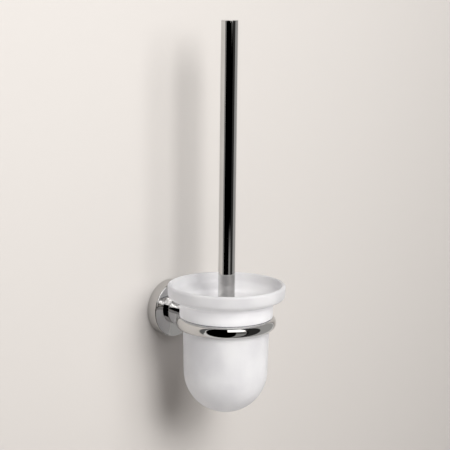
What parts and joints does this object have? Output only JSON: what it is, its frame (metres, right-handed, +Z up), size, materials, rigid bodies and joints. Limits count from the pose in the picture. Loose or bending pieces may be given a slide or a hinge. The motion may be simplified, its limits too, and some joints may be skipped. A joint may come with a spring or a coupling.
{
  "type": "toilet brush holder",
  "caption": "Wall mounted toilet brush holder: round chrome rosette and short arm, chrome ring, frosted glass cup with a deep flared collar, and a brush on a slim chrome tube handle.",
  "frame": {"origin": "middle of the rosette's wall face, on the wall's surface, midway between the two wall plugs", "axes": "+Z up along the brush, +Y into the wall along the plugs, +X to the right seen from the room"},
  "size_m": [0.1128, 0.1764, 0.3746],
  "materials": {
    "chrome": "polished chrome plate",
    "frosted_glass": "satin, acid frosted all over",
    "liner_plastic": "clear soft plastic",
    "bristle_white": "white nylon bristles",
    "core_plastic": "white moulded plastic",
    "seal_rubber": "soft matt black",
    "insert_brass": "machined",
    "screw_steel": "zinc plated",
    "bracket_zinc": "raw zinc die casting",
    "plug_nylon": "grey nylon"
  },
  "bodies": {
    "wall_mount": {"wall_plugs": "plug_nylon", "wall_screws": "screw_steel", "wall_bracket": "bracket_zinc", "rosette": "chrome", "grub_screw": "screw_steel", "arm_collar": "chrome", "arm": "chrome", "arm_bolt": "screw_steel", "arm_washer": "screw_steel", "holder_ring": "chrome"},
    "liner": {"ring_liner": "liner_plastic"},
    "cup": {"glass_cup": "frosted_glass"},
    "handle": {"handle_tube": "chrome", "handle_cap": "chrome", "handle_insert": "insert_brass", "seal_washer": "seal_rubber"},
    "head": {"head_stud": "screw_steel", "head_core": "core_plastic", "side_bristles": "bristle_white", "tip_bristles": "bristle_white"}
  },
  "joints": [
    {"name": "cup_turn", "type": "hinge", "parent": "wall_mount", "child": "liner", "pos_m": [0, -0.082, 0], "axis": [0, 0, 1], "continuous": true},
    {"name": "cup_lift", "type": "slide", "parent": "liner", "child": "cup", "axis": [0, 0, 1], "range_m": [0, 0.12]},
    {"name": "brush_lift", "type": "slide", "parent": "cup", "child": "handle", "axis": [0, 0, 1], "range_m": [0, 0.15]},
    {"name": "head_unscrew", "type": "hinge", "parent": "handle", "child": "head", "pos_m": [0, -0.082, 0], "axis": [0, 0, 1], "continuous": true}
  ]
}
